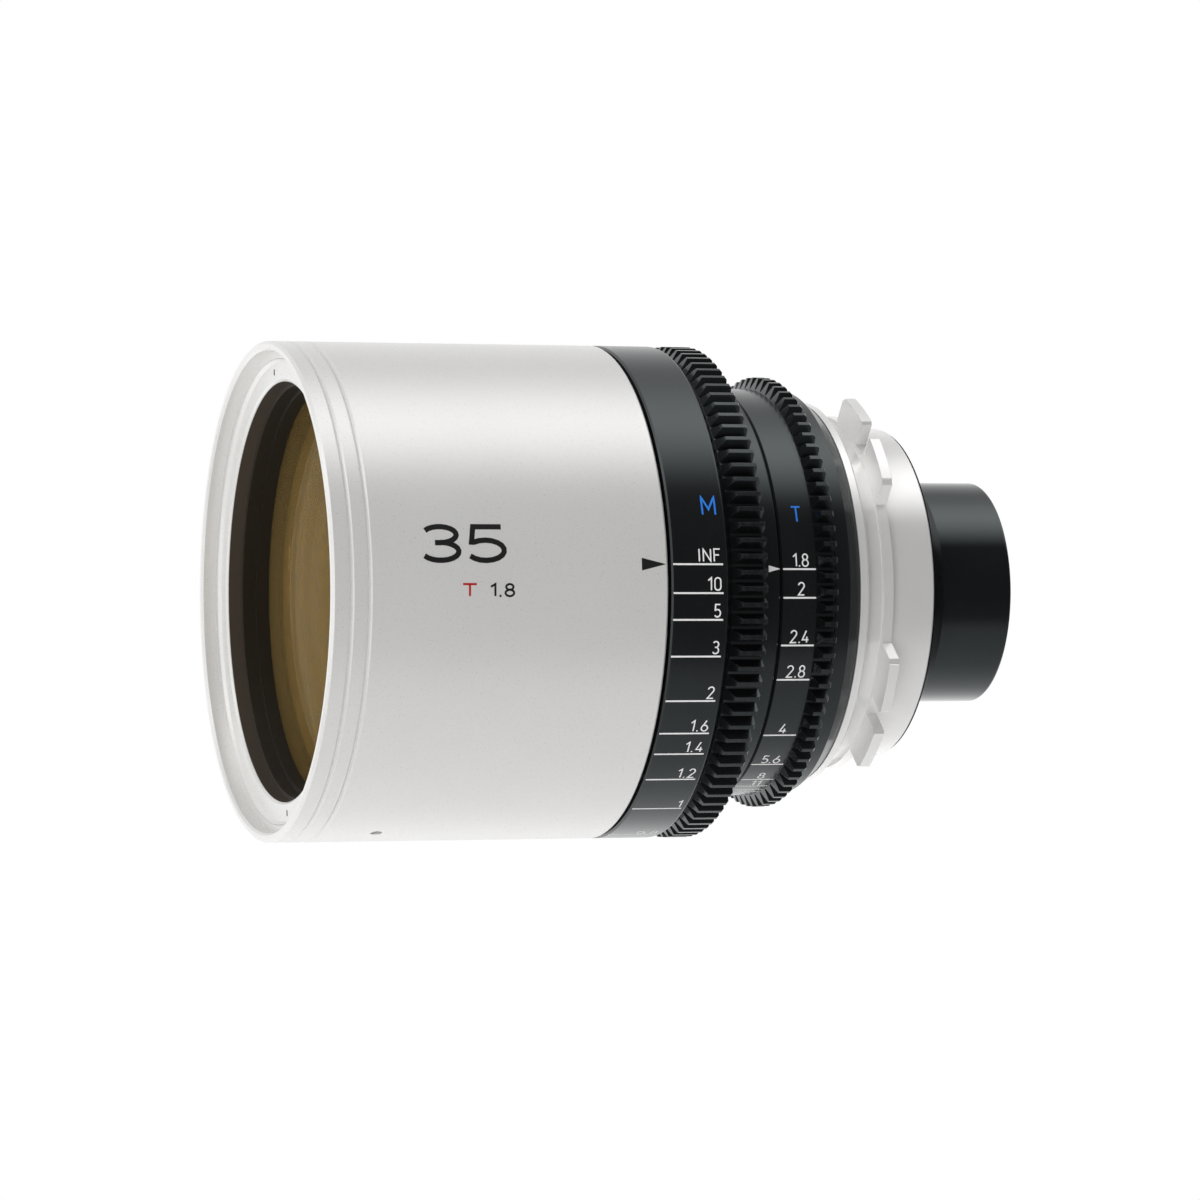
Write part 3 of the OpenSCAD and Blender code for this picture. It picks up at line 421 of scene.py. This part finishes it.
WHITE_PAINT = paint("white_paint", (0.88, 0.87, 0.87))
BLUE_PAINT = paint("blue_paint", (0.022, 0.21, 0.78))
RED_PAINT = paint("red_paint", (0.42, 0.006, 0.008))
BLACK_PAINT = paint("black_paint", (0.01, 0.01, 0.01))


# Painted marks

def arc(cx, cy, rx, ry, start, end, steps=14):
    """Points of an elliptic arc, angles in degrees."""
    angles = [math.radians(start + (end - start) * i / steps) for i in range(steps + 1)]
    return [(cx + rx * math.cos(a), cy + ry * math.sin(a)) for a in angles]


# Each glyph is its width and its strokes, for a cap height of 1
GLYPHS = {
    "0": (0.5, [arc(0.25, 0.74, 0.25, 0.26, 180, 0) + arc(0.25, 0.26, 0.25, 0.26, 0, -180)
                + [(0.0, 0.74)]]),
    "1": (0.26, [[(0.0, 0.78), (0.26, 1.0), (0.26, 0.0)]]),
    "2": (0.5, [arc(0.25, 0.75, 0.24, 0.25, 172, -32) + [(0.0, 0.0), (0.5, 0.0)]]),
    "3": (0.5, [arc(0.24, 0.76, 0.23, 0.24, 150, -90) + [(0.17, 0.52)],
                arc(0.24, 0.265, 0.255, 0.265, 90, -150)]),
    "4": (0.54, [[(0.3, 1.0), (0.0, 0.24), (0.54, 0.24)], [(0.38, 0.5), (0.38, 0.0)]]),
    "5": (0.5, [[(0.46, 1.0), (0.07, 1.0), (0.04, 0.54)] + arc(0.23, 0.3, 0.26, 0.3, 128, -146)]),
    "6": (0.52, [[(0.36, 1.0), (0.05, 0.42)], arc(0.26, 0.28, 0.26, 0.28, 0, 360, 24)]),
    "7": (0.48, [[(0.0, 1.0), (0.48, 1.0), (0.14, 0.0)]]),
    "8": (0.5, [arc(0.25, 0.765, 0.21, 0.235, 0, 360, 22), arc(0.25, 0.265, 0.25, 0.265, 0, 360, 24)]),
    ".": (0.06, [[(-0.03, 0.02), (0.09, 0.02)]]),
    "I": (0.1, [[(0.05, 0.0), (0.05, 1.0)]]),
    "N": (0.62, [[(0.0, 0.0), (0.0, 1.0), (0.62, 0.0), (0.62, 1.0)]]),
    "F": (0.5, [[(0.0, 0.0), (0.0, 1.0), (0.5, 1.0)], [(0.0, 0.52), (0.42, 0.52)]]),
    "M": (0.72, [[(0.0, 0.0), (0.0, 1.0), (0.36, 0.3), (0.72, 1.0), (0.72, 0.0)]]),
    "T": (0.6, [[(0.0, 1.0), (0.6, 1.0)], [(0.3, 1.0), (0.3, 0.0)]]),
}
# Space between glyphs, for a cap height of 1
GLYPH_SPACE = 0.3
NARROW_SPACE = 0.23
WIDE_SPACE = 0.4

# Ends of a stroke closer than this, in metres, are one point
SAME_POINT = 1e-9
# A mitred corner is at most this many times as wide as its stroke
MITRE_LIMIT = 2.2
# An arrow is made of this many strips, and its tip has this share of its height
ARROW_STRIPS = 6
ARROW_TIP = 0.03


def text_width(text, height, space=GLYPH_SPACE):
    """Width of a line of text between the middles of its outer strokes."""
    glyphs = sum(GLYPHS[letter][0] for letter in text)
    return height * (glyphs + space * (len(text) - 1))


def text_strokes(text, height, left, base, stretch, space):
    """Strokes of a line of text that starts at left and stands on base."""
    strokes = []
    for letter in text:
        width, parts = GLYPHS[letter]
        for part in parts:
            strokes.append([(left + height * stretch * u, base + height * v) for u, v in part])
        left += height * (width * stretch + space)
    return strokes


def resample(points):
    """The same polyline with no step longer than STROKE_STEP."""
    dense = [points[0]]
    for (u0, v0), (u1, v1) in zip(points, points[1:]):
        pieces = max(1, math.ceil(math.hypot(u1 - u0, v1 - v0) / STROKE_STEP))
        for i in range(1, pieces + 1):
            dense.append((u0 + (u1 - u0) * i / pieces, v0 + (v1 - v0) * i / pieces))
    return dense


def ribbon(points, width):
    """Pairs of side points along a stroke, with mitred corners."""
    points = resample(points)
    closed = math.dist(points[0], points[-1]) < SAME_POINT
    sides = []
    for i, point in enumerate(points):
        before = points[i - 1] if i > 0 else (points[-2] if closed else None)
        after = points[i + 1] if i + 1 < len(points) else (points[1] if closed else None)
        runs = []
        for a, b in ((before, point), (point, after)):
            if a is not None and b is not None:
                runs.append((Vector(b) - Vector(a)).normalized())
        run = sum(runs, Vector((0.0, 0.0))).normalized()
        normal = Vector((-run.y, run.x))
        spread = max(normal.dot(Vector((-runs[0].y, runs[0].x))), 1 / MITRE_LIMIT)
        offset = normal * (width / 2 / spread)
        sides.append((Vector(point) + offset, Vector(point) - offset))
    return sides


class Marks:
    """Flat closed paint shapes wrapped onto a cylinder about the optical axis."""

    def __init__(self, radius):
        self.radius = radius
        self.vertices = []
        self.faces = []

    def place(self, degrees):
        """Arc length at this angle above the +X side."""
        return math.radians(degrees) * self.radius

    def wrap(self, u, v, r):
        """Axial place u and arc length v on the cylinder, at radius r."""
        angle = v / self.radius
        return (r * math.cos(angle), u, r * math.sin(angle))

    def strip(self, sides):
        """Closed strip between pairs of side points."""
        start = len(self.vertices)
        for left, right in sides:
            for r in (self.radius + PAINT_PROUD, self.radius - PAINT_SUNK):
                self.vertices += [self.wrap(*left, r), self.wrap(*right, r)]
        last = start + 4 * (len(sides) - 1)
        for a in range(start, last, 4):
            b = a + 4
            self.faces += [(a, a + 1, b + 1, b), (a + 2, b + 2, b + 3, a + 3),
                           (a, b, b + 2, a + 2), (a + 1, a + 3, b + 3, b + 1)]
        self.faces += [(start, start + 2, start + 3, start + 1), (last, last + 1, last + 3, last + 2)]

    def text(self, text, height, left, base, weight, stretch=1.0, space=GLYPH_SPACE):
        for stroke in text_strokes(text, height, left, base, stretch, space):
            self.strip(ribbon(stroke, weight))

    def line(self, left, right, v, weight):
        """Line along the axis."""
        self.strip([((u, v + weight / 2), (u, v - weight / 2)) for u in (left, right)])

    def arrow(self, tip, length, v, height):
        """Triangle that points to the rear, in strips that follow the round metal."""
        bounds = [height * (i / ARROW_STRIPS - 0.5) for i in range(ARROW_STRIPS + 1)]
        for low, high in zip(bounds, bounds[1:]):
            back = ((tip - length, v + high), (tip - length, v + low))
            point = ((tip, v + high * ARROW_TIP), (tip, v + low * ARROW_TIP))
            self.strip([back, point])

    def piece(self, name, material, body):
        mesh = bpy.data.meshes.new(name)
        mesh.from_pydata(self.vertices, [], self.faces)
        mesh.materials.append(material)
        mesh.validate()
        made = bpy.data.objects.new(name, mesh)
        bpy.context.collection.objects.link(made)
        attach(made, body)


SCALE_TEXT_H = 1.95 * MM
SCALE_WEIGHT = 0.22 * MM
SCALE_LINE_W = 0.28 * MM
SCALE_TEXT_GAP = 0.46 * MM

# Distance in metres and angle in degrees of each focus mark
FOCUS_MARKS = [
    ("INF", 6.16), ("10", -0.32), ("5", -6.32), ("3", -14.7), ("2", -25.4), ("1.6", -33.9), ("1.4", -39.8),
    ("1.2", -48.0), ("1", -59.8), ("0.8", -78.0), ("0.7", -91.5),
]
FOCUS_LINE = (FOCUS_FRONT + 0.28 * MM, FOCUS_FRONT + 8.55 * MM)
FOCUS_TEXT_RIGHT = FOCUS_FRONT + 8.1 * MM
FOCUS_UNIT_H = 2.95 * MM
FOCUS_UNIT_WEIGHT = 0.31 * MM
FOCUS_UNIT_LEFT = FOCUS_FRONT + 5.75 * MM
FOCUS_UNIT_ANGLE = 17.6


def focus_scale():
    lines = Marks(BARREL_R)
    numbers = Marks(BARREL_R)
    for label, angle in FOCUS_MARKS:
        v = lines.place(angle)
        lines.line(*FOCUS_LINE, v, SCALE_LINE_W)
        left = FOCUS_TEXT_RIGHT - text_width(label, SCALE_TEXT_H)
        numbers.text(label, SCALE_TEXT_H, left, v + SCALE_TEXT_GAP, SCALE_WEIGHT)
    lines.piece("focus_scale_lines", WHITE_PAINT, "focus")
    numbers.piece("focus_scale_numbers", WHITE_PAINT, "focus")
    unit = Marks(BARREL_R)
    unit.text("M", FOCUS_UNIT_H, FOCUS_UNIT_LEFT, unit.place(FOCUS_UNIT_ANGLE), FOCUS_UNIT_WEIGHT)
    unit.piece("focus_unit_mark", BLUE_PAINT, "focus")


# T-stop and angle in degrees of each iris mark; the two smallest stops have lines only
IRIS_MARKS = [
    ("1.8", 6.2), ("2", -1.64), ("2.4", -14.8), ("2.8", -24.8), ("4", -43.5), ("5.6", -56.4), ("8", -65.5),
    ("11", -70.8), ("", -74.5), ("", -77.5),
]
IRIS_LINE = (IRIS_FRONT + 0.32 * MM, IRIS_FRONT + 5.85 * MM)
IRIS_TEXT_SHIFT = 0.27 * MM
IRIS_UNIT_H = 2.5 * MM
IRIS_UNIT_WEIGHT = 0.29 * MM
IRIS_UNIT_LEFT = IRIS_FRONT + 2.6 * MM
IRIS_UNIT_ANGLE = 19.6


def iris_scale():
    lines = Marks(IRIS_BAND_R)
    numbers = Marks(IRIS_BAND_R)
    middle = sum(IRIS_LINE) / 2 + IRIS_TEXT_SHIFT
    for label, angle in IRIS_MARKS:
        v = lines.place(angle)
        lines.line(*IRIS_LINE, v, SCALE_LINE_W)
        left = middle - text_width(label, SCALE_TEXT_H, NARROW_SPACE) / 2
        numbers.text(label, SCALE_TEXT_H, left, v + SCALE_TEXT_GAP, SCALE_WEIGHT, space=NARROW_SPACE)
    lines.piece("iris_scale_lines", WHITE_PAINT, "iris")
    numbers.piece("iris_scale_numbers", WHITE_PAINT, "iris")
    unit = Marks(IRIS_BAND_R)
    unit.text("T", IRIS_UNIT_H, IRIS_UNIT_LEFT, unit.place(IRIS_UNIT_ANGLE), IRIS_UNIT_WEIGHT)
    unit.piece("iris_unit_mark", BLUE_PAINT, "iris")


# Index arrows: place of the tip, length and height
BARREL_ARROW_TIP = SLEEVE_REAR - 0.45 * MM
BARREL_ARROW_L = 3.9 * MM
BARREL_ARROW_H = 2.0 * MM
IRIS_ARROW_TIP = INDEX_REAR - 0.1 * MM
IRIS_ARROW_L = 1.9 * MM
IRIS_ARROW_H = 1.1 * MM


def index_marks():
    barrel = Marks(BARREL_R)
    barrel.arrow(BARREL_ARROW_TIP, BARREL_ARROW_L, INDEX_ROLL * BARREL_R, BARREL_ARROW_H)
    barrel.piece("barrel_index", BLACK_PAINT, "barrel")
    ring = Marks(INDEX_R)
    ring.arrow(IRIS_ARROW_TIP, IRIS_ARROW_L, INDEX_ROLL * INDEX_R, IRIS_ARROW_H)
    ring.piece("iris_index", WHITE_PAINT, "barrel")


# Numbers on the side of the barrel: cap height, stroke, stretch along the axis, place and angle in degrees
FOCAL_H = 5.3 * MM
FOCAL_WEIGHT = 0.85 * MM
FOCAL_STRETCH = 2.2
FOCAL_LEFT = BARREL_FRONT + 14.63 * MM
FOCAL_ANGLE = 6.9
STOP_H = 1.85 * MM
STOP_WEIGHT = 0.34 * MM
STOP_ANGLE = -1.0
STOP_LETTER_LEFT = BARREL_FRONT + 20.93 * MM
STOP_LETTER_STRETCH = 2.0
STOP_NUMBER_LEFT = BARREL_FRONT + 25.43 * MM
STOP_NUMBER_STRETCH = 1.5


def barrel_numbers():
    """Focal length and full aperture on the side of the barrel."""
    focal = Marks(BARREL_R)
    focal.text("35", FOCAL_H, FOCAL_LEFT, focal.place(FOCAL_ANGLE), FOCAL_WEIGHT, FOCAL_STRETCH)
    focal.piece("focal_number", BLACK_PAINT, "barrel")
    letter = Marks(BARREL_R)
    base = letter.place(STOP_ANGLE)
    letter.text("T", STOP_H, STOP_LETTER_LEFT, base, STOP_WEIGHT, STOP_LETTER_STRETCH)
    letter.piece("aperture_letter", RED_PAINT, "barrel")
    stop = Marks(BARREL_R)
    stop.text("1.8", STOP_H, STOP_NUMBER_LEFT, base, STOP_WEIGHT, STOP_NUMBER_STRETCH, WIDE_SPACE)
    stop.piece("aperture_number", BLACK_PAINT, "barrel")


focus_scale()
iris_scale()
index_marks()
barrel_numbers()


# Studio: pale floor, soft light from all round, and the camera of the photograph

LENS_MIDDLE_Y = -0.04
FLOOR_Z = -130 * MM
FLOOR_R = 0.28
FLOOR_CORNERS = 96
FLOOR_WHITE = (0.9, 0.9, 0.9)
FLOOR_GREY = (0.885, 0.885, 0.885)
KEY_PLACE = (1.1, -0.5, -0.25)
KEY_TARGET = (0.0, LENS_MIDDLE_Y, 0.0)
KEY_SIZE = 0.9
KEY_POWER = 10.5

# Brightness of the studio round the optical axis: angle above the +X side in degrees, and level
STUDIO_LEVELS = [
    (-180, 1.1), (-148, 1.3), (-120, 0.88), (-84, 0.52), (-40, 0.35), (-28, 0.1), (-8, 0.07), (50, 0.07),
    (72, 1.4), (84, 1.7), (96, 1.4), (112, 0.8), (124, 0.6), (156, 0.95), (180, 1.1),
]
STUDIO_PEAK = max(level for angle, level in STUDIO_LEVELS)
# Towards each end of the axis these levels pass over to another: Y of the direction at the start
# and at the end of the change, and the level there, white in front of the lens and dark behind it
STUDIO_ENDS = [(-0.84, -0.93, 1.05), (0.75, 0.9, 0.15)]
PLAIN_WHITE = (1.0, 1.0, 1.0, 1.0)


def studio_world():
    """White where the camera or the glass looks out of the picture, and soft levels all round elsewhere."""
    studio = bpy.data.worlds.new("studio")
    bpy.context.scene.world = studio
    studio.use_nodes = True
    world = NodeTree(studio.node_tree)
    coords = world.node("ShaderNodeTexCoord").outputs["Generated"]
    direction = world.node("ShaderNodeSeparateXYZ", coords).outputs
    turn = world.math("ARCTAN2", direction["Z"], direction["X"])
    ramp = world.node("ShaderNodeValToRGB", world.remap(turn, -math.pi, math.pi, 0.0, 1.0))
    stops = ramp.color_ramp.elements
    while len(stops) < len(STUDIO_LEVELS):
        stops.new(0.5)
    for stop, (angle, level) in zip(stops, STUDIO_LEVELS):
        stop.position = (angle + 180) / 360
        stop.color = (level / STUDIO_PEAK,) * 3 + (1.0,)
    level = world.math("MULTIPLY", ramp.outputs["Color"], STUDIO_PEAK)
    for start, end, end_level in STUDIO_ENDS:
        level = world.remap(direction["Y"], start, end, level, end_level)
    white = world.node("ShaderNodeBackground", PLAIN_WHITE)
    soft = world.node("ShaderNodeBackground", PLAIN_WHITE, level)
    path = world.node("ShaderNodeLightPath").outputs
    seen = world.math("MAXIMUM", path["Is Camera Ray"], path["Is Transmission Ray"])
    surface = world.cover(soft.outputs["Background"], white.outputs["Background"], seen)
    world.feed(world.tree.nodes["World Output"].inputs["Surface"], surface)


def studio_floor():
    """Pale round floor below the lens, which is held up by its mount."""
    mesh = bpy.data.meshes.new("floor")
    angles = [2 * math.pi * i / FLOOR_CORNERS for i in range(FLOOR_CORNERS)]
    rim = [(FLOOR_R * math.cos(a), FLOOR_R * math.sin(a) + LENS_MIDDLE_Y, FLOOR_Z) for a in angles]
    mesh.from_pydata(rim, [], [tuple(range(FLOOR_CORNERS))])
    shader = Shader("floor_white", FLOOR_WHITE, 0.8)
    shader.tone(0.2, FLOOR_WHITE, FLOOR_GREY)
    mesh.materials.append(shader.material)
    floor = bpy.data.objects.new("floor", mesh)
    bpy.context.collection.objects.link(floor)
    floor.visible_glossy = False


def key_light():
    """Large soft lamp that lifts the matt surfaces and leaves the reflections to the studio."""
    lamp = bpy.data.lights.new("key_light", "AREA")
    lamp.shape = "DISK"
    lamp.size = KEY_SIZE
    lamp.energy = KEY_POWER
    made = bpy.data.objects.new("key_light", lamp)
    bpy.context.collection.objects.link(made)
    made.location = KEY_PLACE
    made.rotation_euler = (Vector(KEY_TARGET) - Vector(KEY_PLACE)).to_track_quat("-Z", "Y").to_euler()
    made.visible_glossy = False
    made.visible_camera = False


# The photograph looks at the lens from its side and a little from the front, level with its axis
CAMERA_TURN = math.radians(18.71)
CAMERA_PLACE = (0.8803, -0.3380, -0.0013)
CAMERA_LENS = 171.4
CAMERA_SENSOR = 36.0


def photo_camera():
    camera = bpy.data.cameras.new("photo_camera")
    camera.lens = CAMERA_LENS
    camera.sensor_width = CAMERA_SENSOR
    camera.dof.use_dof = False
    made = bpy.data.objects.new("photo_camera", camera)
    bpy.context.collection.objects.link(made)
    made.location = CAMERA_PLACE
    made.rotation_euler = (math.pi / 2, 0.0, math.pi / 2 - CAMERA_TURN)
    bpy.context.scene.camera = made


studio_world()
studio_floor()
key_light()
photo_camera()
bpy.context.scene.view_settings.view_transform = "Standard"
